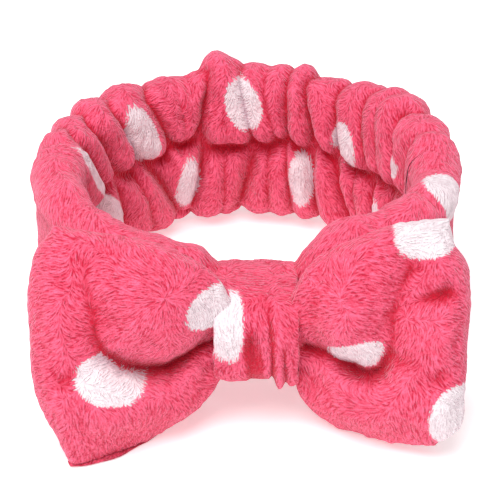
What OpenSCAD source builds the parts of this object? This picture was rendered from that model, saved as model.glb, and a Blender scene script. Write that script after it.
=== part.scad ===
// Spa headband: an elastic fleece band that stands on its edge, with a soft bow on the front.
// Millimetres, +Z up, the bow faces -Y. The origin is the middle of the outline, on the surface
// that the band stands on. The shapes are made about the loop's own axis and moved there once.

/* [Band] */
// Half width of the loop, to the middle of the sleeve
loop_r = 82; // [74:1:92]
// Reach of the flattened front of the loop, to the middle of the sleeve
loop_front = 57; // [52:1:66]
// Height of the sleeve
band_h = 85; // [74:1:96]
// Thickness of the puffed sleeve
band_t = 25; // [23:1:30]
// Height of the front sleeve where the knot squeezes it
squeezed_h = 37; // [32:1:46]
// Thickness of the front sleeve where the knot squeezes it
squeezed_t = 20; // [17:1:22]
// Thickness of the fleece, pile included
cloth_t = 4.5; // [3.5:0.5:5]

/* [Elastic] */
// Width of the woven elastic inside the back sleeve
elastic_w = 20; // [12:1:30]
// Thickness of the woven elastic
elastic_t = 1.4; // [1:0.1:2]
// Length of the stitched tack that holds each end of the elastic
tack_l = 4; // [3:0.5:8]

/* [Bow] */
// Sideways place of the knot on the band
knot_x = 6; // [0:1:10]
// Width of the knot strip
knot_w = 32; // [28:1:36]
// Length of the left lobe, from the knot to its outer edge
left_lobe_l = 79; // [70:1:86]
// Length of the right lobe, from the knot to its outer edge
right_lobe_l = 68; // [62:1:76]
// Height of the left lobe at its outer end
left_lobe_h = 95; // [84:1:104]
// Height of the right lobe at its outer end
right_lobe_h = 91; // [80:1:100]
// Height of the left lobe beside the knot
left_root_h = 54; // [44:1:62]
// Height of the right lobe beside the knot
right_root_h = 68; // [44:1:74]
// How far the left lobe's lower outer corner is drawn in
left_lobe_tuck = 20; // [8:1:24]
// How far the right lobe's lower outer corner is drawn in
right_lobe_tuck = 11; // [8:1:24]
// Greatest thickness of a puffed lobe
lobe_t = 28; // [24:1:29]
// Backward lean of a lobe at its outer end
lobe_lean = 25; // [10:1:28]
// Distance that a lobe's outer end comes forward of its root
lobe_sweep = 12; // [6:1:14]
// How far the right lobe's outer end is lifted
right_lobe_rise = 5; // [0:1:6]

/* [Hidden] */
$fn = 64;

pink = [0.93, 0.33, 0.48];
inner_pink = [0.90, 0.38, 0.52];
elastic_white = [0.94, 0.94, 0.92];
thread_pink = [0.86, 0.24, 0.40];

// Shared clearances and small stock
seam_gap = 0.4;      // half thickness of the stitched joint between the sleeves
body_gap = 0.3;      // room between pieces that move apart
touch_gap = 0.4;     // room between the squeezed layers under the knot
thread_t = 0.8;      // thickness of a stitched thread line
thread_w = 3;        // width of a stitched thread line
bottom_cut = 1;      // how much of the round lower edge is pressed flat where it stands
seam_trim = 0.6;     // how far the side seams stay inside the sleeve's outline

// Loop
front_power = 2.5;   // roundness of the flattened front
band_z = band_h / 2;
inner_face_r = loop_r - band_t / 2;
seam_face_r = inner_face_r + cloth_t + 0.1;
elastic_face_r = seam_face_r + thread_t + 0.1;
sleeve_start_y = seam_gap + body_gap;
front_steps = 44;
section_steps = 24;

// Bow
knot_half_w = knot_w / 2;
nose_r = 9.5;
nose_gap = 0.5;
hinge_offset = knot_half_w + nose_gap + nose_r;
bow_y = -(loop_front + band_t / 2 + nose_r + 1);
bow_z = 44;
lobe_end_z = 49;
seam_half = 0.5;     // half of the gap between a lobe's two panels
edge_half = 2.4;     // half thickness of a lobe along its sewn edge
lobe_end_t = 9;      // thickness of a lobe at its outer end
top_tuck = 11;       // how far a lobe's upper outer corner is drawn in
low_power = 2.6;     // roundness of a lobe's lower outer corner
top_power = 3.5;     // roundness of a lobe's upper outer corner
seam_inset = 1.5;    // from a lobe's edge to its line of stitches
lobe_steps = 30;
panel_steps = 16;
end_steps = 16;

// A lobe's own sizes: length, height at its outer end, height beside the knot, draw-in of its lower
// outer corner, and rise of its outer end.
left_lobe = [left_lobe_l, left_lobe_h, left_root_h, left_lobe_tuck, 0];
right_lobe = [right_lobe_l, right_lobe_h, right_root_h, right_lobe_tuck, right_lobe_rise];

// Knot: the wrap goes round the squeezed sleeve and the waist of the bow
waist_h = squeezed_h - 1;
squeezed_back_y = -(loop_front - squeezed_t / 2);
squeezed_front_y = -(loop_front + squeezed_t / 2);
waist_back_y = squeezed_front_y - touch_gap;
waist_front_y = bow_y - 6.5;
wrap_back_y = squeezed_back_y + touch_gap;
wrap_front_y = waist_front_y - touch_gap;
wrap_inner_h = squeezed_h + 2 * touch_gap;
waist_r = 6;
wrap_r = 11;
thread_band_w = 7;   // width of the neck that the waist thread fills
wrap_stitches = 6;
stitch_l = 6;

// Middle of the outline, front to back
lobe_front = [for (lobe = [left_lobe, right_lobe]) for (row = panel_grid(1, 0, lobe)) for (p = row) p[1]];
loop_back_y = loop_r + band_t / 2;
centre_y = -(loop_back_y + bow_y + min(lobe_front)) / 2;

function clamp01(t) = min(1, max(0, t));
function ease(t) = let (c = clamp01(t)) c * c * (3 - 2 * c);
function mix(a, b, t) = a + (b - a) * t;

// ---- Sweeping helpers ----

// Closed skin between two equal grids of points: outer[i][j] and inner[i][j]. With wrap, each row
// is a closed ring. With flip, the grids run the other way round.
module shell(outer, inner, wrap = false, flip = false) {
    n = len(outer);
    m = len(outer[0]);
    cols = wrap ? m : m - 1;
    function a(i, j) = i * m + j % m;
    function b(i, j) = n * m + i * m + j % m;
    sides = concat(
        [for (i = [0:n - 2], j = [0:cols - 1]) [a(i, j), a(i, j + 1), a(i + 1, j + 1), a(i + 1, j)]],
        [for (i = [0:n - 2], j = [0:cols - 1]) [b(i, j), b(i + 1, j), b(i + 1, j + 1), b(i, j + 1)]]
    );
    ends = concat(
        [for (j = [0:cols - 1]) [a(0, j), b(0, j), b(0, j + 1), a(0, j + 1)]],
        [for (j = [0:cols - 1]) [a(n - 1, j), a(n - 1, j + 1), b(n - 1, j + 1), b(n - 1, j)]]
    );
    edges = wrap ? [] : concat(
        [for (i = [0:n - 2]) [a(i, 0), a(i + 1, 0), b(i + 1, 0), b(i, 0)]],
        [for (i = [0:n - 2]) [a(i, m - 1), b(i, m - 1), b(i + 1, m - 1), a(i + 1, m - 1)]]
    );
    faces = concat(sides, ends, edges);
    polyhedron(
        points = concat([for (row = outer) each row], [for (row = inner) each row]),
        faces = flip ? [for (f = faces) [f[3], f[2], f[1], f[0]]] : faces,
        convexity = 8
    );
}

// Solid rod through rings of four corners each.
module rod(rings) {
    n = len(rings);
    polyhedron(
        points = [for (ring = rings) each ring],
        faces = concat(
            [[0, 1, 2, 3], [4 * n - 1, 4 * n - 2, 4 * n - 3, 4 * n - 4]],
            [for (i = [0:n - 2], j = [0:3])
                [4 * i + j, 4 * i + 4 + j, 4 * i + 4 + (j + 1) % 4, 4 * i + (j + 1) % 4]]
        ),
        convexity = 6
    );
}

// Everything is drawn about the loop's axis, then moved to the origin once.
module place() {
    translate([0, centre_y, 0]) children();
}

// ---- Band ----

// Plan of the flattened front half of the loop, at an angle from 180 to 360.
function front_plan(angle) =
    let (
        c = cos(angle),
        s = sin(angle),
        r = pow(pow(abs(c), front_power) + pow(abs(s), front_power), -1 / front_power)
    )
    [loop_r * c * r, loop_front * s * r];

// Unit vector out of the loop, in plan.
function front_out(angle) =
    let (d = front_plan(angle + 0.5) - front_plan(angle - 0.5))
    [d[1], -d[0]] / norm(d);

// How far the sleeve is squeezed by the knot: 1 under the knot, 0 well away from it.
function squeeze(x) =
    let (away = abs(x - knot_x) - knot_half_w)
    0.6 * (1 - ease(away / 14)) + 0.4 * (1 - ease(away / 55));

// Closed ring of the front sleeve's section at an angle: two half circles and two flat sides,
// cut off at the standing surface.
function sleeve_ring(angle, inset) =
    let (
        plan = front_plan(angle),
        out = front_out(angle),
        w = squeeze(plan[0]),
        t = mix(band_t, squeezed_t, w) - 2 * inset,
        h = mix(band_h + bottom_cut, squeezed_h, w) - 2 * inset,
        half = section_steps / 2
    )
    [for (k = [0:section_steps - 1])
        let (
            turn = 180 * (k % half) / (half - 1) + (k < half ? 0 : 180),
            e = t / 2 * cos(turn),
            z = (h - t) / 2 * (k < half ? 1 : -1) + t / 2 * sin(turn)
        )
        [plan[0] + out[0] * e, plan[1] + out[1] * e - seam_gap, max(band_z + z, inset)]
    ];

// The same section as a flat outline, for the round back half.
module sleeve_outline(inset) {
    round_z = (band_h + bottom_cut - band_t) / 2;
    intersection() {
        translate([0, band_z]) union() {
            square([band_t - 2 * inset, 2 * round_z], center = true);
            for (side = [-1, 1]) {
                translate([0, side * round_z]) circle(r = band_t / 2 - inset);
            }
        }
        translate([-band_t, inset]) square([2 * band_t, band_h]);
    }
}

module sleeve_wall(trim = 0) {
    difference() {
        sleeve_outline(trim);
        sleeve_outline(cloth_t);
    }
}

// Back half of a section swept round the loop's axis, clear of the side seams.
module back_sweep() {
    intersection() {
        rotate_extrude($fn = 128) children();
        translate([-2 * loop_r, sleeve_start_y, -1]) cube([4 * loop_r, 2 * loop_r, band_h + 2]);
    }
}

module front_sleeve() {
    angles = [for (k = [0:front_steps]) 180 + 180 * k / front_steps];
    color(pink) place() shell(
        [for (a = angles) sleeve_ring(a, 0)],
        [for (a = angles) sleeve_ring(a, cloth_t)],
        wrap = true
    );
}

module back_sleeve() {
    color(pink) place() back_sweep() translate([loop_r, 0]) sleeve_wall();
}

// The elastic lies inside the back sleeve, against the wall that faces the head.
module elastic_strip() {
    color(elastic_white) place() back_sweep()
        translate([elastic_face_r, band_z - elastic_w / 2]) square([elastic_t, elastic_w]);
}

module elastic_tack(side) {
    color(thread_pink) place()
        translate([side * (elastic_face_r + elastic_t / 2), -seam_gap - tack_l / 2, band_z])
        cube([elastic_t, tack_l, elastic_w], center = true);
}

module elastic_tack_left() { elastic_tack(-1); }

module elastic_tack_right() { elastic_tack(1); }

// Stitched joint between the front and back sleeves: a thin ring in the plane of the section.
module side_seam(side) {
    color(thread_pink) place() translate([side * loop_r, seam_gap, 0]) rotate([90, 0, 0])
        linear_extrude(2 * seam_gap) sleeve_wall(seam_trim);
}

module side_seam_left() { side_seam(-1); }

module side_seam_right() { side_seam(1); }

// Four corners of the front closing seam at an angle, inside the wall that faces the head.
function seam_ring(angle) =
    let (
        plan = front_plan(angle),
        out = front_out(angle),
        t = mix(band_t, squeezed_t, squeeze(plan[0]))
    )
    [for (c = [[0, -1], [0, 1], [1, 1], [1, -1]])
        let (e = cloth_t - t / 2 + 0.1 + c[0] * thread_t)
        [plan[0] + out[0] * e, plan[1] + out[1] * e - seam_gap, band_z + c[1] * thread_w / 2]
    ];

module front_sleeve_seam() {
    angles = [for (k = [0:front_steps]) mix(186, 354, k / front_steps)];
    color(thread_pink) place() rod([for (a = angles) seam_ring(a)]);
}

// The back sleeve's closing seam also catches the elastic, and draws the cloth into a groove.
module back_sleeve_seam() {
    color(thread_pink) place() back_sweep()
        translate([inner_face_r + cloth_t + 0.1, band_z - thread_w / 2]) square([thread_t, thread_w]);
}

// ---- Bow ----
// A lobe is drawn about its hinge line, growing along +X. s runs from the tip of its rounded
// nose, v up the lobe, n out of its front.

function lobe_height(s, lobe) =
    mix(lobe[2], lobe[1], 1 - pow(1 - clamp01(s / lobe[0]), 3.6));

// Where a lobe ends, w being -1 along its lower edge and 1 along its upper one.
function lobe_end(w, lobe) =
    lobe[0] - (w < 0 ? lobe[3] * pow(-w, low_power) : top_tuck * pow(w, top_power));

function lobe_thick(s, lobe) =
    let (u = clamp01((s - nose_r) / (lobe[0] - nose_r)))
    s < nose_r
        ? 2 * sqrt(nose_r * nose_r - (nose_r - s) * (nose_r - s))
        : mix(2 * nose_r, lobe_end_t, u) + (lobe_t - nose_r - lobe_end_t / 2) * sin(180 * u);

// Half thickness of a lobe: full in the middle, pinched where its edge is sewn.
function lobe_half(s, w, lobe) = lobe_thick(s, lobe) / 2 * pow(max(0, 1 - pow(abs(w), 2.4)), 0.65);

function lobe_point(s, v, n, lobe) =
    let (
        u = ease((s - nose_r) / (lobe[0] - nose_r)),
        lean = lobe_lean * u
    )
    [
        s - nose_r,
        -lobe_sweep * u + v * sin(lean) - n * cos(lean),
        mix(bow_z, lobe_end_z, u) + lobe[4] * u + v * cos(lean) + n * sin(lean)
    ];

// side is 1 for the front panel and -1 for the back one; skin is 0 for the outer face.
function panel_grid(side, skin, lobe) =
    [for (k = [0:lobe_steps])
        [for (j = [0:panel_steps])
            let (
                r = pow(k / lobe_steps, 1.3),
                w = -cos(180 * j / panel_steps),
                s = mix(0.6, lobe_end(w, lobe), r),
                half = lobe_half(mix(0.6, lobe[0], r), w, lobe),
                n = skin == 0 ? max(edge_half, half) : max(seam_half, half - cloth_t)
            )
            lobe_point(s, w * lobe_height(s, lobe) / 2, side * n, lobe)
        ]
    ];

module lobe_panel(side, lobe) {
    shell(panel_grid(side, 0, lobe), panel_grid(side, 1, lobe), flip = side > 0);
}

// Point of a lobe's line of stitches as [s, v]: along the top, down the outer end and back.
function edge_line(k, inset, lobe) =
    let (
        w = mix(1, -1, clamp01((k - lobe_steps) / end_steps)),
        along = k <= lobe_steps ? k / lobe_steps : min(1, (2 * lobe_steps + end_steps - k) / lobe_steps),
        s = mix(nose_r, lobe_end(w, lobe) - inset, clamp01(along))
    )
    [s, w * (lobe_height(s, lobe) / 2 - inset)];

module edge_seam(lobe) {
    color(thread_pink) rod([for (k = [0:2 * lobe_steps + end_steps])
        [for (c = [[0, -1], [0, 1], [1, 1], [1, -1]])
            let (p = edge_line(k, seam_inset + c[0] * thread_w / 2, lobe))
            lobe_point(p[0], p[1], c[1] * (seam_half - 0.05), lobe)
        ]
    ]);
}

// A lobe at its hinge line: side is 1 for the right lobe and -1 for the left one.
module lobe_place(side) {
    place() translate([knot_x + side * hinge_offset, bow_y, 0]) mirror([side < 0 ? 1 : 0, 0, 0]) children();
}

module left_lobe_front_panel() {
    color(pink) lobe_place(-1) lobe_panel(1, left_lobe);
}

module left_lobe_back_panel() {
    color(inner_pink) lobe_place(-1) lobe_panel(-1, left_lobe);
}

module left_lobe_edge_seam() {
    lobe_place(-1) edge_seam(left_lobe);
}

module right_lobe_front_panel() {
    color(pink) lobe_place(1) lobe_panel(1, right_lobe);
}

module right_lobe_back_panel() {
    color(inner_pink) lobe_place(1) lobe_panel(-1, right_lobe);
}

module right_lobe_edge_seam() {
    lobe_place(1) edge_seam(right_lobe);
}

// ---- Knot ----

// Rounded rectangle from its front, back and height, seen along X: x is front to back, y is up.
module layer_outline(front, back, height, r) {
    translate([(front + back) / 2, band_z]) {
        square([back - front - 2 * r, height], center = true);
        square([back - front, height - 2 * r], center = true);
        for (sx = [-1, 1], sy = [-1, 1]) {
            translate([sx * ((back - front) / 2 - r), sy * (height / 2 - r)]) circle(r = r);
        }
    }
}

// Slab of an outline across the knot's middle.
module across(width) {
    place() translate([knot_x - width / 2, 0, 0]) rotate([90, 0, 90]) linear_extrude(width) children();
}

// The bow's gathered middle, with a shallow neck where the thread is wound.
module bow_waist() {
    color(pink) difference() {
        across(knot_w - 1) layer_outline(waist_front_y, waist_back_y, waist_h, waist_r);
        across(thread_band_w) difference() {
            layer_outline(waist_front_y - 1, waist_back_y + 1, waist_h + 2, waist_r);
            waist_neck();
        }
    }
}

module waist_neck() {
    layer_outline(waist_front_y + thread_t, waist_back_y - thread_t, waist_h - 2 * thread_t, waist_r);
}

module waist_thread() {
    color(thread_pink) across(thread_band_w - 0.4) difference() {
        layer_outline(waist_front_y, waist_back_y, waist_h, waist_r);
        waist_neck();
    }
}

module knot_wrap() {
    color(pink) across(knot_w) difference() {
        layer_outline(wrap_front_y - cloth_t, wrap_back_y + cloth_t, wrap_inner_h + 2 * cloth_t, wrap_r);
        layer_outline(wrap_front_y, wrap_back_y, wrap_inner_h, wrap_r - cloth_t);
    }
}

// Row of whip stitches that closes the wrap, on its side that faces the head.
module knot_wrap_seam() {
    pitch = wrap_inner_h / (wrap_stitches + 1);
    color(thread_pink) place() for (k = [1:wrap_stitches]) {
        translate([knot_x, wrap_back_y + cloth_t + thread_t / 2, band_z - wrap_inner_h / 2 + pitch * k])
            cube([stitch_l, thread_t, thread_t], center = true);
    }
}

front_sleeve();
back_sleeve();
elastic_strip();
elastic_tack_left();
elastic_tack_right();
side_seam_left();
side_seam_right();
front_sleeve_seam();
back_sleeve_seam();
left_lobe_front_panel();
left_lobe_back_panel();
left_lobe_edge_seam();
right_lobe_front_panel();
right_lobe_back_panel();
right_lobe_edge_seam();
bow_waist();
waist_thread();
knot_wrap();
knot_wrap_seam();
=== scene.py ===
"""Spa headband: a gathered fleece band standing on its edge, with a soft bow on its front.

Shapes are worked out in millimetres about the CAD frame, and written to meshes in metres.
"""
import math
import bmesh
import bpy
import numpy as np
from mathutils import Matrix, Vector


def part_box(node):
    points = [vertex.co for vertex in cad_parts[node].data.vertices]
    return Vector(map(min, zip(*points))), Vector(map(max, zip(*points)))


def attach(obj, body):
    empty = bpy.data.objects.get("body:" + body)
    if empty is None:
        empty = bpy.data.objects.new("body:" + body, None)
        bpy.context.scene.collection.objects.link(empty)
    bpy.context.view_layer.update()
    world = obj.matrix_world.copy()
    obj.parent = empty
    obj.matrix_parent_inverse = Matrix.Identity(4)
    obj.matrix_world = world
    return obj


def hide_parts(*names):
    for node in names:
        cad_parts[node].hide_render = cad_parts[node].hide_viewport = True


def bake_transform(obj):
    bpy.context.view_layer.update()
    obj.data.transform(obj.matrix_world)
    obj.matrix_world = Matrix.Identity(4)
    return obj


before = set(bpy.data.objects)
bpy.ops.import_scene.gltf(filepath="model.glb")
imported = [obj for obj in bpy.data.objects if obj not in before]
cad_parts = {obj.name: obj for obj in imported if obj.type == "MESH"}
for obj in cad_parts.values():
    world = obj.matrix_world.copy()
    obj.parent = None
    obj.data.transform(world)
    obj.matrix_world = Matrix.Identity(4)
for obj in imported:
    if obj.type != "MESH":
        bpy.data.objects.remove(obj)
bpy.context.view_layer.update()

MM = 0.001


# ---------------------------------------------------------------- sizes, from the frame

def cad_box(node):
    """Lowest and highest corner of a CAD node at rest, in millimetres."""
    lo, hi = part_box(node)
    return np.array(lo) / MM, np.array(hi) / MM


back_hi = cad_box("back_sleeve")[1]
seam_lo, seam_hi = cad_box("side_seam_left")
wrap_lo, wrap_hi = cad_box("knot_wrap")
waist_lo, waist_hi = cad_box("bow_waist")
left_end_x = cad_box("left_lobe_front_panel")[0][0]
right_end_x = cad_box("right_lobe_front_panel")[1][0]

CENTRE_Y = (seam_lo[1] + seam_hi[1]) / 2      # the loop's own axis
BAND_H = back_hi[2]
BAND_Z = BAND_H / 2                           # the band's middle height
BAND_T = 25.0                                 # thickness of the puffed sleeve
LOOP_R = back_hi[0] - BAND_T / 2              # half width, to the middle of the sleeve
LOOP_FRONT = 57.0                             # reach of the flattened front
FRONT_POWER = 2.5                             # how square the front is in plan; 2 is an ellipse
SQUEEZED_H = 37.0                             # the sleeve's height and thickness in the knot
SQUEEZED_T = 18.0
KNOT_X = (wrap_lo[0] + wrap_hi[0]) / 2
KNOT_HALF = (wrap_hi[0] - wrap_lo[0]) / 2
BOW_Y = -80.0 + CENTRE_Y
LOBE_START = KNOT_HALF + 0.5                  # from the knot's middle to a lobe's inner end
LEFT_LEN = KNOT_X - LOBE_START - left_end_x
RIGHT_LEN = right_end_x - KNOT_X - LOBE_START


# ---------------------------------------------------------------- small maths

def ease(t):
    """0 to 1 for t from 0 to 1, level at both ends."""
    t = np.clip(t, 0.0, 1.0)
    return t * t * (3 - 2 * t)


def spow(v, p):
    """A power that keeps the sign."""
    return np.sign(v) * np.abs(v) ** p


def unit(v):
    return v / np.maximum(np.linalg.norm(v, axis=-1, keepdims=True), 1e-9)


def soft_line(t, knots, blur):
    """The value at t of a line through (t, value) knots, its corners rounded over 2 x blur."""
    at, value = zip(*knots)
    return sum(np.interp(t + d, at, value) for d in np.linspace(-blur, blur, 7)) / 7


def noise(p, cell, seed):
    """Smooth value noise from -1 to 1 at points p, with a cell size of its own along each axis."""
    q = np.asarray(p, float) / np.asarray(cell, float)
    base = np.floor(q).astype(np.int64)
    f = q - base
    f = f * f * f * (f * (f * 6 - 15) + 10)

    def corner(dx, dy, dz):
        n = (base[..., 0] + dx) * 374761393 + (base[..., 1] + dy) * 668265263
        n = (n + (base[..., 2] + dz) * 2147483647 + seed * 1274126177) & 0xFFFFFFFF
        n = ((n ^ (n >> 13)) * 1274126177) & 0xFFFFFFFF
        return ((n ^ (n >> 16)) & 0xFFFF) / 32767.5 - 1

    total = 0
    for dx in (0, 1):
        for dy in (0, 1):
            for dz in (0, 1):
                w = (f[..., 0] if dx else 1 - f[..., 0])
                w = w * (f[..., 1] if dy else 1 - f[..., 1])
                w = w * (f[..., 2] if dz else 1 - f[..., 2])
                total = total + w * corner(dx, dy, dz)
    return total


def polyline_distance(s, v, line):
    """Distance from each (s, v) to a line of points, how far along it (0 to 1), and which side."""
    line = np.asarray(line, float)
    steps = np.linalg.norm(np.diff(line, axis=0), axis=1)
    start = np.concatenate([[0], np.cumsum(steps)])
    best = np.full(np.shape(s), 1e9)
    along = np.zeros(np.shape(s))
    side = np.zeros(np.shape(s))
    for k in range(len(line) - 1):
        d = (line[k + 1] - line[k]) / steps[k]
        rs, rv = s - line[k][0], v - line[k][1]
        t = np.clip(rs * d[0] + rv * d[1], 0, steps[k])
        gs, gv = rs - t * d[0], rv - t * d[1]
        dist = np.hypot(gs, gv)
        near = dist < best
        best = np.where(near, dist, best)
        along = np.where(near, (start[k] + t) / start[-1], along)
        side = np.where(near, np.sign(d[0] * gv - d[1] * gs), side)
    return best, along, side


# ---------------------------------------------------------------- camera, light and floor

VIEW_ELEVATION = math.radians(33.0)
VIEW_DISTANCE = 900.0
PICTURE_W = 222.2            # width of the view at the object, in mm
AIM = np.array([1.3, CENTRE_Y, 34.2])
SENSOR_W = 36.0

WORLD_LIGHT = 0.47
KEY_LIGHT = 14.0             # watts
KEY_PLACE = (-0.2, -0.4, 1.05)
KEY_TARGET = (0, 0, 0.04)
KEY_WIDTH = 0.9
FLOOR_GLOW = 0.40            # the floor is a lit white table
FLOOR_HALF = 3.0
FLOOR_WHITE = (0.93, 0.93, 0.93, 1)


def make_camera():
    cam = bpy.data.cameras.new("camera")
    cam.sensor_width = SENSOR_W
    cam.lens = SENSOR_W * VIEW_DISTANCE / PICTURE_W
    cam.clip_start = 0.05
    cam.clip_end = 20.0
    obj = bpy.data.objects.new("camera", cam)
    bpy.context.scene.collection.objects.link(obj)
    back = np.array([0.0, -math.cos(VIEW_ELEVATION), math.sin(VIEW_ELEVATION)])
    obj.location = Vector((AIM + back * VIEW_DISTANCE) * MM)
    obj.rotation_euler = (math.pi / 2 - VIEW_ELEVATION, 0.0, 0.0)
    bpy.context.scene.camera = obj


def make_key_light():
    light = bpy.data.lights.new("key", "AREA")
    light.shape = "DISK"
    light.size = KEY_WIDTH
    light.energy = KEY_LIGHT
    obj = bpy.data.objects.new("key", light)
    bpy.context.scene.collection.objects.link(obj)
    obj.location = Vector(KEY_PLACE)
    aim = Vector(KEY_TARGET) - Vector(KEY_PLACE)
    obj.rotation_euler = aim.to_track_quat("-Z", "Y").to_euler()


def make_studio():
    world = bpy.data.worlds.new("studio")
    world.use_nodes = True
    world.node_tree.nodes["Background"].inputs[0].default_value = (1.0, 1.0, 1.0, 1.0)
    world.node_tree.nodes["Background"].inputs[1].default_value = WORLD_LIGHT
    bpy.context.scene.world = world
    make_key_light()
    bpy.context.scene.view_settings.view_transform = "Standard"
    mesh = bpy.data.meshes.new("floor")
    r = FLOOR_HALF
    mesh.from_pydata([(-r, -r, 0), (r, -r, 0), (r, r, 0), (-r, r, 0)], [], [(0, 1, 2, 3)])
    floor = bpy.data.objects.new("floor", mesh)
    bpy.context.scene.collection.objects.link(floor)
    mat = bpy.data.materials.new("floor_white")
    mat.use_nodes = True
    shader = mat.node_tree.nodes["Principled BSDF"]
    shader.inputs["Base Color"].default_value = FLOOR_WHITE
    shader.inputs["Roughness"].default_value = 0.9
    shader.inputs["Emission Color"].default_value = (1, 1, 1, 1)
    shader.inputs["Emission Strength"].default_value = FLOOR_GLOW
    mesh.materials.append(mat)


# ---------------------------------------------------------------- materials

PINK_DEEP = (0.52, 0.013, 0.044, 1)       # in the gaps of the pile, on its tips, and painted shade in folds
PINK_TIP = (0.90, 0.132, 0.240, 1)
PINK_PAINTED_FOLD_SHADE = (0.50, 0.005, 0.022, 1)
WHITE_DEEP = (0.72, 0.60, 0.64, 1)
WHITE_TIP = (0.88, 0.79, 0.82, 1)
# painted shade of folds on the white spots
WHITE_PAINTED_FOLD_SHADE = (0.52, 0.34, 0.40, 1)
SHEEN_TINT = (1.0, 0.58, 0.70, 1)
PAINTED_FOLD_SHADE_SHARE = 0.85            # how far a fold goes to its painted shade colour
PAINTED_CREST_AND_HOLLOW_SHADE = 0.3            # painted light and shade: how far crests go towards the tips' colour, and hollows away from it
HOLLOW_DEPTH = 1.0           # mm below its surroundings at which a fold's painted shade is at its darkest
STROKE_SCALE = 1500.0        # the size of a stroke and its gap, as a noise scale per metre
STROKE_REACH = 1.9           # how far a stroke is drawn out along the nap, in mm
STROKE_TAPS = 7              # samples along a stroke
STROKE_GAIN = 3.8            # how sharply strokes stand out from the gaps
SWIRL = 0.9                  # how much neighbouring strokes turn from the nap
SWIRL_SCALE = 260.0
GRAIN_SCALE = 1700.0         # single hairs
GRAIN_SHARE = 0.25
PATCH_SCALE = 90.0           # broad lighter and darker patches
PATCH_SHARE = 0.24
SPOT_RAGGED = 0.8            # mm by which strokes cross a spot's edge, either way
SPOT_EDGE = 1.3              # how sharp a spot's edge is, per mm
PILE_RELIEF = 0.5            # mm from the gaps to the tips
THREAD_DARK = (0.62, 0.03, 0.10, 1)
THREAD_LIGHT = (0.90, 0.10, 0.20, 1)
ELASTIC_DARK = (0.62, 0.60, 0.57, 1)
ELASTIC_LIGHT = (0.90, 0.89, 0.86, 1)
RIB_SHARE = 0.7              # how much the elastic's ribs show against its weft


class Nodes:
    """Short hand for building a node tree."""

    def __init__(self, tree):
        self.tree = tree

    def fill(self, node, key, value):
        """Link a socket to the node's input, or set the input to a value."""
        if isinstance(value, bpy.types.NodeSocket):
            self.tree.links.new(value, node.inputs[key])
        else:
            node.inputs[key].default_value = value

    def add(self, kind, values=None, **settings):
        node = self.tree.nodes.new(kind)
        for key, value in settings.items():
            setattr(node, key, value)
        for key, value in (values or {}).items():
            self.fill(node, key, value)
        return node

    def maths(self, operation, a, b=0.0, c=0.0, clamp=False):
        node = self.add("ShaderNodeMath", {0: a, 1: b, 2: c}, operation=operation, use_clamp=clamp)
        return node.outputs[0]

    def mix(self, factor, a, b, blend="MIX"):
        node = self.add("ShaderNodeMix", data_type="RGBA", blend_type=blend)
        for key, value in ((0, factor), (6, a), (7, b)):
            self.fill(node, key, value)
        return node.outputs[2]

    def vector(self, operation, a, b, c=(0, 0, 0)):
        node = self.add("ShaderNodeVectorMath", {0: a, 1: b, 2: c}, operation=operation)
        return node.outputs[0]

    def noise(self, place, scale, detail):
        return self.add("ShaderNodeTexNoise", {"Vector": place, "Scale": scale, "Detail": detail})

    def attribute(self, name):
        return self.add("ShaderNodeAttribute", attribute_name=name)


def new_material(name, sheen, roughness):
    mat = bpy.data.materials.new(name)
    mat.use_nodes = True
    tree = mat.node_tree
    shader = tree.nodes["Principled BSDF"]
    shader.inputs["Roughness"].default_value = roughness
    shader.inputs["Specular IOR Level"].default_value = 0.15
    shader.inputs["Sheen Weight"].default_value = sheen
    shader.inputs["Sheen Roughness"].default_value = 0.45
    shader.inputs["Sheen Tint"].default_value = SHEEN_TINT
    return mat, Nodes(tree), shader


def streaks(n, place, nap):
    """Noise drawn out along the nap: the mean of several samples spread along a stroke."""
    total = 0.0
    for k in range(STROKE_TAPS):
        step = (k / (STROKE_TAPS - 1) - 0.5) * STROKE_REACH * MM
        shifted = n.vector("MULTIPLY_ADD", nap, (step,) * 3, place)
        grain = n.noise(shifted, STROKE_SCALE, 0.0).outputs["Fac"]
        total = n.maths("MULTIPLY_ADD", grain, 1 / STROKE_TAPS, total)
    return n.maths("MULTIPLY_ADD", total, STROKE_GAIN, 0.5 - STROKE_GAIN / 2, clamp=True)


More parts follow.
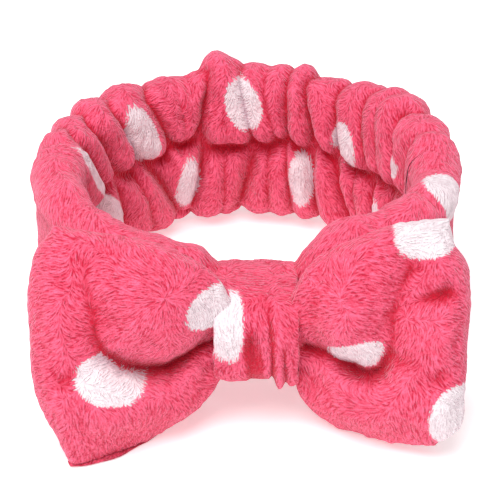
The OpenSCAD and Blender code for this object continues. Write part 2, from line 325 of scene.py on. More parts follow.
def fleece_material():
    """Deep-pile fleece: curved strokes of pile along the nap, dark gaps between, printed spots, and painted
    shade that darkens its folds and lightens its crests.
    """
    mat, n, shader = new_material("coral_fleece", 0.45, 0.9)
    place = n.add("ShaderNodeTexCoord").outputs["Object"]
    nap = n.attribute("nap").outputs["Vector"]
    swirl = n.vector("SUBTRACT", n.noise(place, SWIRL_SCALE, 1.0).outputs["Color"], (0.5, 0.5, 0.5))
    strokes = streaks(n, place, n.vector("MULTIPLY_ADD", swirl, (SWIRL,) * 3, nap))
    ragged = n.maths("MULTIPLY_ADD", strokes, 2 * SPOT_RAGGED, -SPOT_RAGGED)
    from_spot = n.maths("ADD", n.attribute("dot").outputs["Fac"], ragged)
    mask = n.maths("MULTIPLY_ADD", from_spot, -SPOT_EDGE, 0.5, clamp=True)
    # painted shade: the hollow attribute says how deep each point lies in a fold
    hollows = n.attribute("hollow").outputs["Fac"]
    # painted shade and highlight: hollows darken the pile's colour, crests lighten it
    tips_and_painted_shade = n.maths("MULTIPLY_ADD", hollows, -PAINTED_CREST_AND_HOLLOW_SHADE, strokes, clamp=True)
    # painted shade: folds go to a darker colour by how deep they lie
    painted_fold_shade = n.maths("MULTIPLY", hollows, PAINTED_FOLD_SHADE_SHARE, clamp=True)
    pink = n.mix(painted_fold_shade, n.mix(tips_and_painted_shade, PINK_DEEP, PINK_TIP), PINK_PAINTED_FOLD_SHADE)
    white = n.mix(painted_fold_shade, n.mix(strokes, WHITE_DEEP, WHITE_TIP), WHITE_PAINTED_FOLD_SHADE)
    patches = n.noise(place, PATCH_SCALE, 2.0).outputs["Fac"]
    shade = n.maths("MULTIPLY_ADD", patches, PATCH_SHARE, 1 - PATCH_SHARE / 2)
    colour = n.mix(1.0, n.mix(mask, pink, white), shade, "MULTIPLY")
    n.tree.links.new(colour, shader.inputs["Base Color"])
    grain = n.noise(place, GRAIN_SCALE, 1.0).outputs["Fac"]
    height = n.maths("MULTIPLY_ADD", grain, GRAIN_SHARE, strokes)
    bump = n.add("ShaderNodeBump", {"Height": height, "Strength": 1.0, "Distance": PILE_RELIEF * MM})
    n.tree.links.new(bump.outputs[0], shader.inputs["Normal"])
    return mat


def thread_material():
    """Twisted polyester thread: fine slanting ply lines."""
    mat, n, shader = new_material("sewing_thread", 0.1, 0.55)
    place = n.add("ShaderNodeTexCoord").outputs["Object"]
    ply = n.add("ShaderNodeTexWave", {"Vector": place, "Scale": 900.0, "Distortion": 1.5},
                bands_direction="DIAGONAL").outputs["Fac"]
    n.tree.links.new(n.mix(ply, THREAD_DARK, THREAD_LIGHT), shader.inputs["Base Color"])
    bump = n.add("ShaderNodeBump", {"Height": ply, "Strength": 0.6, "Distance": 0.2 * MM})
    n.tree.links.new(bump.outputs[0], shader.inputs["Normal"])
    return mat


def elastic_material():
    """Woven white elastic: ribs along its length, crossed by a fine weft."""
    mat, n, shader = new_material("woven_elastic", 0.05, 0.7)
    place = n.add("ShaderNodeTexCoord").outputs["Object"]
    rib = n.add("ShaderNodeTexWave", {"Vector": place, "Scale": 260.0}, bands_direction="Z").outputs["Fac"]
    weft = n.add("ShaderNodeTexWave", {"Vector": place, "Scale": 420.0}, bands_direction="X").outputs["Fac"]
    both = n.maths("MULTIPLY_ADD", rib, RIB_SHARE, n.maths("MULTIPLY", weft, 1 - RIB_SHARE))
    n.tree.links.new(n.mix(both, ELASTIC_DARK, ELASTIC_LIGHT), shader.inputs["Base Color"])
    bump = n.add("ShaderNodeBump", {"Height": both, "Strength": 0.7, "Distance": 0.4 * MM})
    n.tree.links.new(bump.outputs[0], shader.inputs["Normal"])
    return mat


def finish_node(name, material):
    """Give a carried-over CAD node its material."""
    for place in bpy.data.objects[name].material_slots:
        place.material = material


# ---------------------------------------------------------------- meshes from grids of points

NO_SPOT = 30.0               # distance in mm that stands for no spot near
NAP_WANDER = 0.55            # how much the nap wanders, and over what distance in mm
NAP_WANDER_SIZE = 13.0
TUFT_SIZE, TUFT_HEIGHT = 5.0, 0.28            # of the broad tufts and of the fine ones, in mm
FINE_TUFT_SIZE, FINE_TUFT_HEIGHT = 2.2, 0.24
FLOOR_GAP = 0.6              # the least height of the cloth, in mm


def grid_faces(n, m):
    """Faces of n rows of m points, each row closed on itself."""
    i, j = np.meshgrid(np.arange(n - 1), np.arange(m), indexing="ij")
    i, j = i.ravel(), j.ravel()
    k = (j + 1) % m
    return np.stack([i * m + j, i * m + k, (i + 1) * m + k, (i + 1) * m + j], 1)


def hollow(p, normal):
    """How far each point of a grid lies in a hollow (1) or on a crest (-1), over about 3 mm; it sets the
    painted shade of folds and crests.
    """
    q = p
    for _ in range(24):
        q = (np.roll(q, 1, 1) + np.roll(q, -1, 1) + 2 * q) / 4
        q = (np.concatenate([q[:1], q[:-1]]) + np.concatenate([q[1:], q[-1:]]) + 2 * q) / 4
    return np.clip(((q - p) * normal).sum(-1) / HOLLOW_DEPTH, -1, 1)


def make_mesh(name, points, faces, material, dot, nap, hollows):
    """points in millimetres; dot is the distance to the nearest spot's edge, in millimetres."""
    mesh = bpy.data.meshes.new(name)
    mesh.from_pydata((points * MM).tolist(), [], [list(dict.fromkeys(f)) for f in faces.tolist()])
    mesh.validate()
    mesh.polygons.foreach_set("use_smooth", [True] * len(mesh.polygons))
    mesh.materials.append(material)
    # hollow carries the painted shade of folds and crests to the material
    for key, values in (("dot", dot), ("hollow", hollows)):
        mesh.attributes.new(key, "FLOAT", "POINT").data.foreach_set("value", values.astype(np.float32))
    field = mesh.attributes.new("nap", "FLOAT_VECTOR", "POINT")
    field.data.foreach_set("vector", nap.astype(np.float32).ravel())
    obj = bpy.data.objects.new(name, mesh)
    bpy.context.scene.collection.objects.link(obj)
    return obj


def grid_normals(p):
    """Normals of a grid of points with closed rows, by differences along both ways."""
    di = np.gradient(p, axis=0)
    dj = (np.roll(p, -1, 1) - np.roll(p, 1, 1)) / 2
    return unit(np.cross(di, dj))


def nap_field(p, normal, plain_normal, seed, down, splay):
    """Which way the pile lies: down, splayed away from each swell's crest, wandering a little."""
    away = normal - (normal * plain_normal).sum(-1, keepdims=True) * plain_normal
    drift = np.stack([noise(p, NAP_WANDER_SIZE, seed + k) for k in range(3)], -1) * NAP_WANDER
    lie = np.asarray(down, float) + splay * away + drift
    lie = lie - (lie * normal).sum(-1, keepdims=True) * normal
    return unit(lie)


def tufts(p, nap, seed):
    """Height of the pile's tufts in mm: streaks drawn out along the nap."""
    broad = noise(p, TUFT_SIZE, seed) * TUFT_HEIGHT
    fine = noise(p - nap, FINE_TUFT_SIZE, seed + 1) + noise(p + nap, FINE_TUFT_SIZE, seed + 1)
    return broad + fine * FINE_TUFT_HEIGHT


def grid_piece(name, p, plain_normal, dot, seed, material, down=(0, 0, -1.0), splay=1.3, ring=False):
    """Finish a grid of points with closed rows: nap, tufts and mesh. plain_normal is the undented
    surface's; ring joins the last row to the first."""
    rows, cols = p.shape[:2]
    if ring:
        normal = grid_normals(np.concatenate([p[-1:], p, p[:1]], 0))[1:-1]
        faces = grid_faces(rows + 1, cols) % (rows * cols)
    else:
        normal = grid_normals(p)
        faces = grid_faces(rows, cols)
    flip = (normal * plain_normal).sum(-1).mean() < 0
    normal = -normal if flip else normal
    nap = nap_field(p, normal, plain_normal, seed + 20, down, splay)
    # depth in hollows, for the painted shade of folds and crests
    hollows = hollow(p, normal)
    p = p + normal * tufts(p, nap, seed + 30)[..., None]
    p[..., 2] = np.maximum(p[..., 2], FLOOR_GAP)
    if not flip:
        faces = faces[:, ::-1]
    return make_mesh(name, p.reshape(-1, 3), faces, material, dot.ravel(), nap.reshape(-1, 3),
                     hollows.ravel())


# ---------------------------------------------------------------- band

def plan(angle):
    """The loop in plan: a half circle at the back and a flattened front, angles in degrees."""
    a = np.radians(angle)
    c, s = np.cos(a), np.sin(a)
    r = (np.abs(c) ** FRONT_POWER + np.abs(s) ** FRONT_POWER) ** (-1 / FRONT_POWER)
    front = s < 0
    x = LOOP_R * c * np.where(front, r, 1)
    y = np.where(front, LOOP_FRONT * r, LOOP_R) * s
    return np.stack([x, y], -1)


def plan_out(angle):
    """The way out of the loop, in plan."""
    d = plan(angle + 0.5) - plan(angle - 0.5)
    return unit(np.stack([d[..., 1], -d[..., 0]], -1))


def tube_section(b, t, h):
    """Two half circles and two flat sides, by length from the middle of the side facing the head,
    going up. Gives the place across (out of the loop) and up, and the normal."""
    half = (h - t) / 2
    bow = math.pi * t / 2
    s = b * (4 * half + 2 * bow)
    turn1 = np.clip((s - half) / bow, 0, 1) * math.pi
    turn2 = np.clip((s - 3 * half - bow) / bow, 0, 1) * math.pi
    up = s < 2 * half + bow
    turn = np.where(up, turn1, math.pi + turn2)
    e = -t / 2 * np.cos(turn)
    z = t / 2 * np.sin(turn) + np.where(turn < math.pi, 1, -1) * half
    flat_in = np.clip(s, 0, half)
    flat_out = half - np.clip(s - half - bow, 0, 2 * half)
    flat_back = -half + np.clip(s - 3 * half - 2 * bow, 0, half)
    z = np.where(s < half, flat_in, z)
    z = np.where((s >= half + bow) & (s < 3 * half + bow), flat_out, z)
    z = np.where(s >= 3 * half + 2 * bow, flat_back, z)
    ne, nz = -np.cos(turn), np.sin(turn)
    return e, z, ne, nz


# Gathers of each tier: angle round the loop, depth in mm, half width in degrees, and lean in
# degrees per mm of height. The angle is the one at the tier's middle height.
UPPER_TIER_Z = 66.0
LOWER_TIER_Z = 25.0
UPPER_GATHERS = [
    (180, 2.5, 2.6, 0.20), (165, 6.0, 2.6, 0.42), (153, 8.0, 2.6, 0.33), (140, 6.0, 2.2, 0.33),
    (124, 8.0, 2.6, 0.30), (115.5, 2.0, 2.6, 0.05), (106, 10.0, 3.2, -0.22), (90.7, 3.6, 1.6, 0.19),
    (81.8, 3.0, 2.6, 0.20), (75.1, 6.0, 2.0, 0.06), (66.6, 8.5, 2.4, 0.23), (55.3, 6.5, 2.4, 0.17),
    (41.0, 3.0, 2.0, 0.30), (33.0, 2.0, 2.0, 0.30), (21.0, 7.5, 2.8, 0.45), (8.0, 3.5, 3.0, 0.10),
]
LOWER_GATHERS = [
    (165, 5.0, 2.8, 0.5), (152, 6.0, 2.8, 0.5), (142, 7.0, 2.6, 0.2), (131.5, 2.6, 2.2, 0.3),
    (121.0, 9.0, 2.8, 0.40), (109, 8.0, 2.4, -0.12), (99, 2.6, 2.0, 0.0), (90.5, 9.0, 2.8, -0.17),
    (82, 2.4, 2.2, 0.0), (74.0, 4.0, 1.8, 0.05), (64.3, 8.5, 2.4, 0.05), (51.5, 8.0, 2.6, 0.18),
    (43.5, 2.4, 2.0, 0.1), (34.5, 6.0, 2.4, 0.10), (22, 5.0, 2.8, 0.1), (10, 3.0, 3.0, 0.1),
]
# Bumps of the top edge: angle, height in mm, half width in degrees.
EDGE_BUMPS = [(168, 4.5, 8), (151, 2.2, 7), (134, 1.0, 7), (119, -1.5, 6), (110.5, -4.5, 4),
              (100.5, 8.0, 6), (84, -1.2, 6), (70, 1.8, 5), (63.5, -3.5, 4), (38, 4.5, 9),
              (24, 4.8, 8), (10, 7.0, 8)]
# How far the band is gathered in by the knot: distance past the knot's edge in mm, share.
SQUEEZE_LEFT = [(-4, 1), (2, 0.9), (11, 0.5), (36, 0.38), (70, 0)]
SQUEEZE_RIGHT = [(-4, 1), (0, 0.78), (7, 0.36), (14, 0.14), (24, 0.06), (45, 0)]
PILE_INSET = 1.6             # the cloth lies this far inside the pile's own outline
# The groove over the elastic, between the two tiers of the inner side, in mm.
GROOVE_Z = 45.6
GROOVE_DEPTH = 8.0
GROOVE_HALF = 3.2
GROOVE_RISE = 5.0            # at the upper tier's folds, so that its tongues hang lower
GROOVE_RISE_FOLD = 6         # depth of a fold that lifts it all the way
GROOVE_SIDE_RISE = 4.0       # towards the right side
TIER_SWELL = 4.2             # how far each tier swells, TIER_HALF away from the groove
TIER_HALF = 15
TONGUE_SWELL = 1.6           # and the upper one again, just above the groove
TONGUE_OVER, TONGUE_HALF = 8, 7
SEAM_REACH = 3.3             # deepest dent over the elastic
TIER_REACH = 7.0             # how much deeper the dents may be in the tiers, and on the outer side
OUTER_REACH = 12
OUTER_LEAN = 0.15            # share of the gathers' lean that the outer side has
OUTER_DEPTH = 0.55           # share of their depth that it has
LOW_DRAW, LOW_LIFT = 3.5, 2.2                 # how far the lower edge is drawn in and up
LOW_TALL = 16
OUTER_TRIM = 2.6             # how much flatter the outer side is at the left and right
SLEEVE_FLOOR = 0.8           # least height of the sleeve before its tufts


def turn_between(angle, at):
    """Degrees from one angle to another, from -180 to 180."""
    return (angle - at + 180) % 360 - 180


def gather_field(angle, z, gathers, middle, slant):
    """Depth of a tier's gathers; slant scales their lean."""
    total = np.zeros(np.broadcast(angle, z).shape)
    for at, depth, width, lean in gathers:
        off = np.abs(turn_between(angle, at + slant * lean * (z - middle))) / width
        total = total + depth * np.exp(-off ** 1.3)
    return total


def squeeze(x):
    """How far the band is gathered in by the knot, 0 to 1."""
    away = np.abs(x - KNOT_X) - KNOT_HALF
    return np.where(x < KNOT_X, soft_line(away, SQUEEZE_LEFT, 3), soft_line(away, SQUEEZE_RIGHT, 3))


# Spots on the inner side: angle, height, half width in degrees, half height in mm, lean.
INNER_SPOTS = [
    (134, 64, 6.4, 15.5, 0.17), (91.5, 69.5, 7.2, 11.8, 0.16), (48.5, 57.5, 7.0, 12.0, 0.10),
    (113.5, 30, 5.4, 14.5, 0.0), (69, 31, 4.6, 14.5, 0.02), (152, 33, 6.0, 15.0, 0.50),
    (170.5, 68, 4.2, 14.5, 0.30), (15.5, 66, 4.0, 5.5, 0.0), (28, 24, 5.5, 14, 0.2),
]
# The spot on the shoulder beside the right lobe: its middle, from the loop's axis, and its radius.
SHOULDER_SPOT = (83, -25, 77)
SHOULDER_SPOT_R = 11.0
# Spots on the outer side: two rows, staggered. Heights in mm, angles in degrees.
OUTER_ROWS = (22.0, 60.0)
OUTER_STEP = 30.0            # between two spots of a row
OUTER_FIRST = -8
OUTER_WIDE, OUTER_TALL = 6.5, 13.0            # half width in degrees and half height in mm
# How far round the tube the spots of each side go, by the section's normal.
INNER_FACING, OUTER_FACING = 0.2, 0.45


def band_spot_distance(angle, p, facing):
    """Distance in mm to the nearest spot's edge, negative inside; facing is the section's normal."""
    best = np.full(angle.shape, NO_SPOT)
    z = p[..., 2]
    for at, height, wide, tall, lean in INNER_SPOTS:
        da = turn_between(angle, at + lean * (z - height)) / wide
        d = (np.hypot(da, (z - height) / tall) - 1) * wide * 1.25
        best = np.where(facing < INNER_FACING, np.minimum(best, d), best)
    away = p - (np.array(SHOULDER_SPOT, float) + (0, CENTRE_Y, 0))
    best = np.minimum(best, np.linalg.norm(away, axis=-1) - SHOULDER_SPOT_R)
    for row, height in enumerate(OUTER_ROWS):
        for k in range(7):
            at = k * OUTER_STEP + row * OUTER_STEP / 2 + OUTER_FIRST
            da = turn_between(angle, at) / OUTER_WIDE
            d = (np.hypot(da, (z - height) / OUTER_TALL) - 1) * 9
            best = np.where(facing > OUTER_FACING, np.minimum(best, d), best)
    return best


def sleeve(name, first, last, steps, around, seed, material):
    """A length of the band's tube between two angles, front or gathered back."""
    angle = np.linspace(first, last, steps)[:, None]
    b = (np.arange(around) / around)[None, :]
    centre, out = plan(angle[:, 0]), plan_out(angle[:, 0])
    swing = turn_between(angle, 90)
    back = ease((98 - np.abs(swing)) / 22)                    # 1 on the gathered half
    w = squeeze(centre[:, 0])[:, None] * (np.abs(swing) > 90)
    t = (BAND_T - 2 * PILE_INSET + 1) * (1 - w) + SQUEEZED_T * w
    h = (BAND_H - PILE_INSET) * (1 - w) + SQUEEZED_H * w
    e, z, ne, nz = tube_section(b + 0 * angle, t + 0 * b, h + 0 * b)
    angle = angle + 0 * e
    height = BAND_Z + z - 0.4
    inner = np.clip(-ne, 0, 1)
    slant = OUTER_LEAN + (1 - OUTER_LEAN) * inner
    upper_folds = gather_field(angle, height, UPPER_GATHERS, UPPER_TIER_Z, slant)
    lower_folds = gather_field(angle, height, LOWER_GATHERS, LOWER_TIER_Z, slant)
    groove_z = GROOVE_Z + GROOVE_RISE * np.clip(upper_folds / GROOVE_RISE_FOLD, 0, 1)
    groove_z = groove_z + GROOVE_SIDE_RISE * ease((40 - angle) / 25) * (angle < 180)
    over = height - groove_z
    upper = ease((over + 2.5) / 5) * inner + ease((height - 22) / 40) * (1 - inner)
    folds = upper_folds * upper + lower_folds * (1 - upper)
    tier = TIER_SWELL * np.exp(-(np.abs(np.abs(over) - TIER_HALF) / TIER_HALF) ** 2.2)
    tier = tier + TONGUE_SWELL * np.exp(-(np.abs(over - TONGUE_OVER) / TONGUE_HALF) ** 2)
    groove = -GROOVE_DEPTH * np.exp(-(np.abs(over) / GROOVE_HALF) ** 1.4)
    push = inner * (tier + groove) - folds * (OUTER_DEPTH + (1 - OUTER_DEPTH) * inner)
    spot = np.stack([centre[:, None, 0] + 0 * e, centre[:, None, 1] + 0 * e, height], -1)
    soft = 1.1 * noise(spot, (14, 14, 26), seed) + 0.7 * noise(spot, (7, 7, 16), seed + 5)
    push = back * push + soft
    # dents are held back smoothly, so that they stay clear of the elastic
    reach = SEAM_REACH + TIER_REACH * ease((np.abs(height - BAND_Z) - 11) / 9) + OUTER_REACH * (1 - inner)
    push = np.where(push < 0, -reach * (1 - np.exp(push / reach)), push)
    lift = 0
    for at, rise, width in EDGE_BUMPS:
        lift = lift + rise * np.exp(-(turn_between(angle, at) / width) ** 2) * ease((z - 10) / 30)
    e = e + ne * push
    low = back * ease((LOW_TALL - height) / LOW_TALL)
    trim = OUTER_TRIM * ease((110 - np.abs(np.abs(swing) - 100)) / 60) * ease((80 - height) / 16)
    e = e + LOW_DRAW * inner * low - trim * np.clip(ne, 0, 1)
    lift = lift + LOW_LIFT * low
    x = centre[:, None, 0] + out[:, None, 0] * e
    y = centre[:, None, 1] + out[:, None, 1] * e + CENTRE_Y
    p = np.stack([x, y, height + nz * push + lift], -1)
    p[..., 2] = np.maximum(p[..., 2], SLEEVE_FLOOR)
    section_normal = np.stack([out[:, None, 0] * ne, out[:, None, 1] * ne, nz], -1)
    return grid_piece(name, p, section_normal, band_spot_distance(angle, p, ne), seed, material)


# ---------------------------------------------------------------- bow

LOBE_LEAN = math.radians(25.0)                # a lobe's top leans forward
LOBE_SWEEP = 10.0            # how far forward its end lies, in mm
NOSE_R = 9.5                 # how far out the lean begins
NOSE_IN = -7.0               # how far a lobe runs on under the knot
ROOT_HALF = 6.0              # half a lobe's thickness where the knot holds it
BOW_Z = 44.0                 # middle height at the knot and at a lobe's end
LOBE_END_Z = 47.5
# Each lobe lying flat: (out from the knot, up) of its top and bottom edge, (up, out) of its end.
LEFT_TOP = [(-7, 14), (-3, 20), (0, 28), (6, 33.5), (17, 39.5), (30, 43.3), (47, 44.8), (66, 48)]
LEFT_BOTTOM = [(-7, -14), (-3, -16), (0, -20), (5, -29), (15, -38), (29, -46.5), (42, -51.5), (58, -52)]
LEFT_END = [(-54, 57), (-50, 62), (-42, 64.6), (-34, 68.2), (-28, 71.4), (-20, 74.8), (-10, 76.8), (22, 78),
            (34, 76.2), (41, 74), (46, 69.5), (49, 67)]
RIGHT_TOP = [(-7, 14), (-3, 22), (0, 32.5), (6, 37.5), (15, 42.7), (30, 47), (41, 47.4), (60, 46.8)]
RIGHT_BOTTOM = [(-7, -14), (-3, -20), (0, -31), (2, -34), (9, -40), (16, -43.5), (35, -47), (58, -46.5)]
RIGHT_END = [(-49, 54), (-45, 61), (-40, 64.6), (-32, 65.5), (-10, 66.2), (17, 67.4), (27, 66.8), (34, 64.6),
             (38, 61), (48, 58.5)]
RIGHT_RISE = 5.0             # how much higher the right lobe's end lies
LEFT_THICK, RIGHT_THICK = 30.0, 29.0
EDGE_POWER = 0.72            # how full a lobe's section is; 1 is an ellipse
LOBE_FLOOR = 1.0             # the lower edge rests on the table at this height
LOBE_SLIDE = 1.4             # mm forward for each mm that it would be under it


class Lobe:
    """One lobe's measures: side is -1 for the lobe at the picture's left and 1 for the right."""

    def __init__(self, side, top, bottom, end, thick, rise):
        self.side, self.top, self.bottom, self.end = side, top, bottom, end
        self.thick, self.rise = thick, rise
        self.length = LEFT_LEN if side < 0 else RIGHT_LEN

    def place(self, s, v, n):
        """From the lobe's own measure (out, up, forward) to the frame."""
        u = ease((s - NOSE_R) / (self.length - NOSE_R))
        lean = LOBE_LEAN * u
        x = KNOT_X + self.side * (LOBE_START + s)
        y = BOW_Y - LOBE_SWEEP * u + v * np.sin(lean) - n * np.cos(lean)
        z = BOW_Z + (LOBE_END_Z - BOW_Z + self.rise) * u + v * np.cos(lean) + n * np.sin(lean)
        return np.stack([x, y, z], -1)

    def half_thick(self, s, gap):
        """Half the thickness; gap is the distance to the outer edge."""
        u = np.clip(s / self.length, 0, 1)
        body = 9.0 + (self.thick / 2 - 7.0) * np.sin(math.pi * np.clip(u * 0.95 + 0.05, 0, 1)) ** 0.8
        body = ROOT_HALF + (body - ROOT_HALF) * ease((s + 2) / 18)
        end = 1 - np.clip(gap / 9.0, 0, 1)
        nose = np.clip((-s - 3.0) / 4.0, 0, 1)
        return body * np.sqrt(1 - end ** 2) * np.sqrt(np.clip(1 - nose ** 2, 0, 1))


def fold(s, v, line, depth, above, below):
    """A crease along a line: depth, and its half width above and below, by share of its length."""
    d, along, side = polyline_distance(s, v, line)
    width = np.where(side > 0, soft_line(along, above, 0.04), soft_line(along, below, 0.04))
    return -soft_line(along, depth, 0.04) * np.exp(-(d / width) ** 1.4)


def swell(s, v, at, up, wide, tall, height):
    """A soft rise of the cloth about a place, by its half width and half height."""
    return height * np.exp(-((s - at) / wide) ** 2 - ((v - up) / tall) ** 2)


LEFT_CREASE = [(-4, 0), (4, -2), (11, -4.4), (16, -7.6), (21, -10.4), (32, -11.2), (40, -8.6), (47, -2.6),
               (50, 6), (50.5, 15), (53, 26), (53, 34)]
RIGHT_CREASE = [(-4, -3), (4, -4.4), (10, -4.8), (14, -6.4), (18, -9.4), (23, -12.4), (28, -13.4),
                (32.5, -11), (35, -5), (36, 4), (36, 14), (38, 24), (42, 31)]


def left_sculpt(s, v):
    """Swells and creases of the left lobe's front, in mm forward."""
    n = fold(s, v, LEFT_CREASE, [(0, 5), (0.12, 10), (0.4, 13), (0.56, 11), (0.7, 6.5), (1, 2)],
             [(0, 7), (0.5, 9), (1, 9)], [(0, 2.4), (0.5, 2.6), (0.62, 6), (1, 9)])
    n = n + swell(s, v, 38, -25, 40, 11, 5.0) + swell(s, v, 26, 18, 19, 15, 5.0)
    n = n + swell(s, v, 66, 10, 8, 22, 2.5) - swell(s, v, 62, -12, 9, 7, 2.0)
    return n - swell(s, v, 30, -46, 22, 5, 1.5)


def right_sculpt(s, v):
    """The same for the right lobe."""
    n = fold(s, v, RIGHT_CREASE, [(0, 5), (0.1, 8), (0.35, 11), (0.5, 9), (0.62, 5.5), (1, 4.5)],
             [(0, 5), (0.4, 8), (1, 8)], [(0, 2.4), (0.45, 2.8), (0.55, 6), (1, 8)])
    n = n - swell(s, v, 55, 18, 10, 4.5, 4.5) + swell(s, v, 30, -28, 34, 11, 5.0)
    n = n + swell(s, v, 16, 16, 14, 14, 4.5) + swell(s, v, 55, 2, 9, 14, 2.5)
    return n - swell(s, v, 54, -16, 12, 6, 1.5) + swell(s, v, 56, 32, 9, 8, 2.0)


# Spots of each lobe: out, up, half width, half height, facing front (1), back (-1) or both (0), and
# whether the crease cuts it off above (1), below (-1) or not at all (0).
LEFT_SPOTS = [(44.3, -11.0, 13.8, 9.5, 1, 1), (4, 19, 9.5, 9.0, 1, 0), (30, 20, 12, 12, -1, 0),
              (58, -22, 12, 12, -1, 0), (62, 28, 11, 11, -1, 0)]
RIGHT_SPOTS = [(21.5, -1, 11.0, 8.0, 1, -1), (51, 48, 15.3, 14.0, 0, 0), (64, -33, 13.6, 13.6, 0, 0),
               (26, -20, 12, 12, -1, 0)]


def lobe_spot_distance(s, v, front, spots, crease):
    """Distance in mm to the nearest spot's edge of a lobe, negative inside."""
    best = np.full(np.shape(s), NO_SPOT)
    from_crease, _, side = polyline_distance(s, v, crease)
    for at, up, wide, tall, facing, cut in spots:
        d = (np.abs((s - at) / wide) ** 2.3 + np.abs((v - up) / tall) ** 2.3) ** (1 / 2.3) - 1
        d = np.maximum(d * min(wide, tall), cut * side * from_crease + 0.5) if cut else d * min(wide, tall)
        best = np.where(front * facing >= 0, np.minimum(best, d), best)
    return best


def lobe(name, form, sculpt, spots, crease, steps, around, seed, material):
    """A lobe as rows of points round its section, from the knot to its end, zipped up at both."""
    u = np.linspace(0, 1, steps)
    u = (np.sin((u - 0.5) * math.pi * 0.72) / math.sin(math.pi * 0.36) + 1) / 2
    turn = (-math.pi / 2 + 2 * math.pi * np.arange(around) / around)[None, :]
    across = spow(np.sin(turn), 0.95)
    end = soft_line(across * 50, form.end, 2.0)
    s = NOSE_IN + (end - NOSE_IN) * u[:, None]
    turn, across = turn + 0 * s, across + 0 * s
    top, bottom = soft_line(s, form.top, 2.0), soft_line(s, form.bottom, 2.0)
    v = (top + bottom) / 2 + (top - bottom) / 2 * across
    half_t = form.half_thick(s, end - s)
    n = half_t * spow(np.cos(turn), EDGE_POWER)
    front = np.clip(np.cos(turn) * 1.5, 0, 1) * ease((end - s) / 12) * ease((s + 4) / 6)
    n = n + front * sculpt(s, v)
    flat = np.stack([s, v, n], -1)
    calm = ease((s + 2) / 8) * ease((end - s) / 6)
    n = n + (1.0 * noise(flat, 15.0, seed) + 0.6 * noise(flat, 7.0, seed + 3)) * calm
    p = form.place(s, v, n)
    under = np.maximum(LOBE_FLOOR - p[..., 2], 0)
    p[..., 1] -= LOBE_SLIDE * under
    p[..., 2] += under * (1 - 0.12 * np.clip(n / 12, -1, 1))
    twin = (-np.arange(around)) % around
    for row in (0, -1):
        p[row] = (p[row] + p[row][twin]) / 2
    lean = LOBE_LEAN * ease((s - NOSE_R) / (form.length - NOSE_R))
    face = np.sign(np.cos(turn))
    plain = np.stack([0 * s, -np.cos(lean) * face, np.sin(lean) * face], -1)
    dot = lobe_spot_distance(s, v, face, spots, crease)
    piece = grid_piece(name, p, plain, dot, seed, material, (form.side * 0.5, 0, -0.7), 1.6)
    zip_ends(piece, steps, around)
    return piece


STITCH_R = 0.4
STITCH_SIDES = 6
EDGE_INSET = 4.0             # from a lobe's outline in to its stitches
EDGE_START = 3               # and from the knot out to them
EDGE_FLOOR = 3.0             # least height of the stitches
RING_INSET_T, RING_INSET_H = 8.0, 9.0         # the side stitches' ring is this much smaller


def tube_round(line, closed):
    """Points of a thin tube of thread about a line of points."""
    if closed:
        forward = unit(np.roll(line, -1, 0) - np.roll(line, 1, 0))
    else:
        forward = unit(np.gradient(line, axis=0))
    across = unit(np.cross(forward, (0, -1.0, 0)))
    turn = 2 * math.pi * np.arange(STITCH_SIDES)[None, :, None] / STITCH_SIDES
    ring = across[:, None] * np.cos(turn) + np.cross(forward, across)[:, None] * np.sin(turn)
    return (line[:, None] + STITCH_R * ring).reshape(-1, 3)


def thread_mesh(name, points, faces, material):
    """A mesh of thread, without spots, nap or folds."""
    none = np.zeros(len(points))
    return make_mesh(name, points, faces, material, none, np.zeros_like(points), none)


def edge_thread(name, form, material):
    """The line of stitches that joins a lobe's two panels, inside its outline."""
    w = np.concatenate([np.ones(40), np.linspace(1, -1, 60), -np.ones(40)])
    reach = np.concatenate([np.linspace(0, 1, 40), np.ones(60), np.linspace(1, 0, 40)])
    s = EDGE_START + reach * (soft_line(w * 50, form.end, 2.0) - EDGE_INSET - EDGE_START)
    top, bottom = soft_line(s, form.top, 2.0) - EDGE_INSET, soft_line(s, form.bottom, 2.0) + EDGE_INSET
    v = (top + bottom) / 2 + w * (top - bottom) / 2
    line = form.place(s, v, 0 * s)
    line[:, 2] = np.maximum(line[:, 2], EDGE_FLOOR)
    caps = np.array([[0, 1, 2, 3], [0, 3, 4, 5]])
    last = (len(line) - 1) * STITCH_SIDES
    faces = np.concatenate([grid_faces(len(line), STITCH_SIDES), caps[:, ::-1], caps + last])
    return thread_mesh(name, tube_round(line, False), faces, material)


def thread_ring(name, angle, material):
    """The stitches that close a side of the loop: a ring inside the sleeve's section."""
    b = np.arange(160) / 160
    e, z, _, _ = tube_section(b, BAND_T - RING_INSET_T, BAND_H - RING_INSET_H)
    x = math.copysign(LOOP_R, math.cos(math.radians(angle))) + e
    points = tube_round(np.stack([x, 0 * x + CENTRE_Y, BAND_Z + z], -1), True)
    faces = grid_faces(len(x) + 1, STITCH_SIDES) % len(points)
    return thread_mesh(name, points, faces, material)


def zip_ends(piece, steps, around):
    """Close the first and last row of a grid piece by joining its two lips."""
    for row in (0, steps - 1):
        for j in range(1, around // 2):
            a = piece.data.vertices[row * around + j]
            b = piece.data.vertices[row * around + around - j]
            middle = (a.co + b.co) / 2
            a.co, b.co = middle, middle
    weld = bmesh.new()
    weld.from_mesh(piece.data)
    bmesh.ops.remove_doubles(weld, verts=weld.verts, dist=0.00001)
    weld.to_mesh(piece.data)
    weld.free()


# ---------------------------------------------------------------- knot

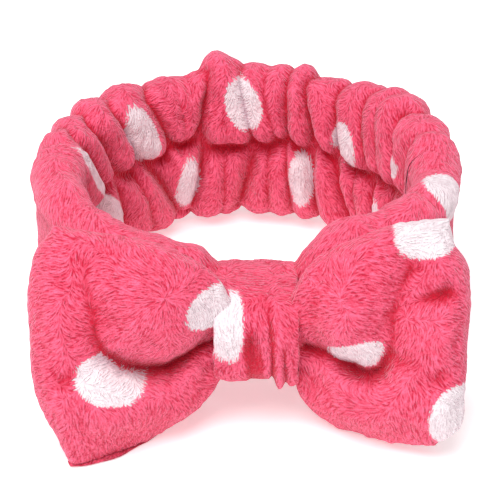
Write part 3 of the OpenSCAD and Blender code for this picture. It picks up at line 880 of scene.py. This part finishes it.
# Pleats of the knot: place across it, depth, half width, and how far down it starts (mm of height).
PLEATS = [(-1.7, 3.2, 1.1, 57.0), (2.6, 2.0, 0.9, 50.0), (6.4, 3.8, 1.2, 60.0), (11.5, 2.8, 1.1, 52.0)]
KNOT_SHIFT = -2.2            # the pile bulges further on the knot's left side
KNOT_PLUMP = 1.3             # how far it bulges past the strip's edges
KNOT_SECTION_POWER = 0.55    # how full its section and its loop are; 1 is an ellipse
KNOT_LOOP_POWER = 0.62
KNOT_SWELL, KNOT_SWELL_IN = 3.4, 2.0          # how far it swells outward, and inward to the band
KNOT_SPOT = (-14.0, 57.0)    # the spot's middle: across from the knot's middle, and height
KNOT_SPOT_HALF = (6.6, 16.5, 14.5)


def knot(name, steps, around, seed, material):
    """The pleated strip round the waist and the band, as a closed loop of soft section."""
    turn = 2 * math.pi * np.arange(around) / around
    x = (KNOT_HALF + KNOT_PLUMP) * spow(np.cos(turn), KNOT_SECTION_POWER)[None, :]
    t = (2 * math.pi * np.arange(steps) / steps)[:, None]
    front, back = wrap_lo[1] + 2.0, wrap_hi[1] - 3.0
    top = wrap_hi[2] - 5.2
    bottom = wrap_lo[2] + 7.0 - 4.0 * ease((x - 6) / 3)
    mid_y, half_y = (front + back) / 2, (back - front) / 2
    y = mid_y + half_y * spow(np.cos(t), KNOT_LOOP_POWER) + 0 * x
    z = (top + bottom) / 2 + (top - bottom) / 2 * spow(np.sin(t), KNOT_LOOP_POWER)
    x = x + 0 * t
    along = np.stack([np.roll(y, -1, 0) - np.roll(y, 1, 0), np.roll(z, -1, 0) - np.roll(z, 1, 0)], -1)
    along = unit(along)
    out_y, out_z = along[..., 1], -along[..., 0]
    if (out_y * (y - mid_y)).mean() < 0:
        out_y, out_z = -out_y, -out_z
    outer = spow(np.sin(turn), 0.5)[None, :] + 0 * t
    lift = np.where(outer > 0, KNOT_SWELL, KNOT_SWELL_IN) * outer
    ahead = ease((mid_y - y) / half_y + 0.2)
    for at, depth, width, start in PLEATS:
        off = np.abs((x - at - 0.05 * (40 - z)) / width)
        lift = lift - np.clip(outer, 0, 1) * ahead * ease((start - z) / 12) * depth * np.exp(-off ** 1.3)
    lift = lift + np.clip(outer, 0, 1) * 1.2 * ahead * np.exp(-((x - 9) / 4) ** 2)
    p = np.stack([KNOT_X + KNOT_SHIFT + x, y + out_y * lift, z + out_z * lift], -1)
    lift_noise = 0.6 * noise(p, 9.0, seed)
    p[..., 1] += out_y * lift_noise * np.clip(outer, 0, 1)
    plain = np.stack([0 * x, out_y * np.sign(outer), out_z * np.sign(outer)], -1)
    wide, tall, deep = KNOT_SPOT_HALF
    dx = (p[..., 0] - KNOT_X - KNOT_SPOT[0]) / wide
    off = np.stack([dx, (p[..., 2] - KNOT_SPOT[1]) / tall, (y - front) / deep], -1)
    dot = ((np.abs(off) ** 3).sum(-1) ** (1 / 3) - 1) * wide
    dot = np.where((p[..., 1] < mid_y) & (outer > 0), dot, NO_SPOT)
    return grid_piece(name, p, plain, dot, seed, material, (0.25, 0, -1.0), 1.2, ring=True)


def waist(name, steps, around, seed, material):
    """The bow's pinched middle between the lobes, inside the knot."""
    turn = (2 * math.pi * np.arange(around) / around)[None, :]
    u = np.linspace(-1, 1, steps)[:, None]
    close = np.sqrt(np.clip(1 - np.clip((np.abs(u) - 0.8) / 0.2, 0, 1) ** 2, 0.0004, 1))
    middle, half = (waist_lo + waist_hi) / 2, (waist_hi - waist_lo) / 2 - 1.0
    y, z = half[1] * close * np.cos(turn), half[2] * close * np.sin(turn)
    p = np.stack([middle[0] + half[0] * u + 0 * turn, middle[1] + y, middle[2] + z], -1)
    plain = unit(np.stack([0 * y, y / half[1] ** 2, z / half[2] ** 2], -1))
    return grid_piece(name, p, plain, np.full(y.shape, NO_SPOT), seed, material)


# ---------------------------------------------------------------- build

make_camera()
make_studio()
ground = fleece_material()
thread = thread_material()
elastic = elastic_material()

left_form = Lobe(-1, LEFT_TOP, LEFT_BOTTOM, LEFT_END, LEFT_THICK, 0.0)
right_form = Lobe(1, RIGHT_TOP, RIGHT_BOTTOM, RIGHT_END, RIGHT_THICK, RIGHT_RISE)
back_piece = sleeve("back_sleeve_fleece", 0, 180, 420, 230, 11, ground)
front_piece = sleeve("front_sleeve_fleece", 180, 360, 300, 230, 11, ground)
left_piece = lobe("left_lobe_fleece", left_form, left_sculpt, LEFT_SPOTS, LEFT_CREASE,
                  130, 300, 83, ground)
right_piece = lobe("right_lobe_fleece", right_form, right_sculpt, RIGHT_SPOTS, RIGHT_CREASE,
                   120, 290, 131, ground)
knot_piece = knot("knot_fleece", 260, 130, 171, ground)
waist_piece = waist("bow_waist_fleece", 60, 60, 191, ground)
left_thread = edge_thread("left_lobe_edge_thread", left_form, thread)
right_thread = edge_thread("right_lobe_edge_thread", right_form, thread)
left_ring = thread_ring("left_side_stitches", 180, thread)
right_ring = thread_ring("right_side_stitches", 0, thread)
for node in ("front_sleeve_seam", "back_sleeve_seam", "elastic_tack_left",
             "elastic_tack_right", "waist_thread", "knot_wrap_seam"):
    finish_node(node, thread)
finish_node("elastic_strip", elastic)

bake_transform(back_piece)
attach(front_piece, "root")
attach(knot_piece, "root")
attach(waist_piece, "root")
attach(left_ring, "root")
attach(right_ring, "root")
for piece, body, side in ((left_piece, "left_lobe", -1), (left_thread, "left_lobe", -1),
                          (right_piece, "right_lobe", 1), (right_thread, "right_lobe", 1)):
    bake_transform(piece)

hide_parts("back_sleeve")
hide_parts("front_sleeve")
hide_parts("left_lobe_front_panel", "left_lobe_back_panel")
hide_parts("right_lobe_front_panel", "right_lobe_back_panel")
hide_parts("left_lobe_edge_seam")
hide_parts("right_lobe_edge_seam")
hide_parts("knot_wrap")
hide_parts("bow_waist")
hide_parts("side_seam_left")
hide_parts("side_seam_right")
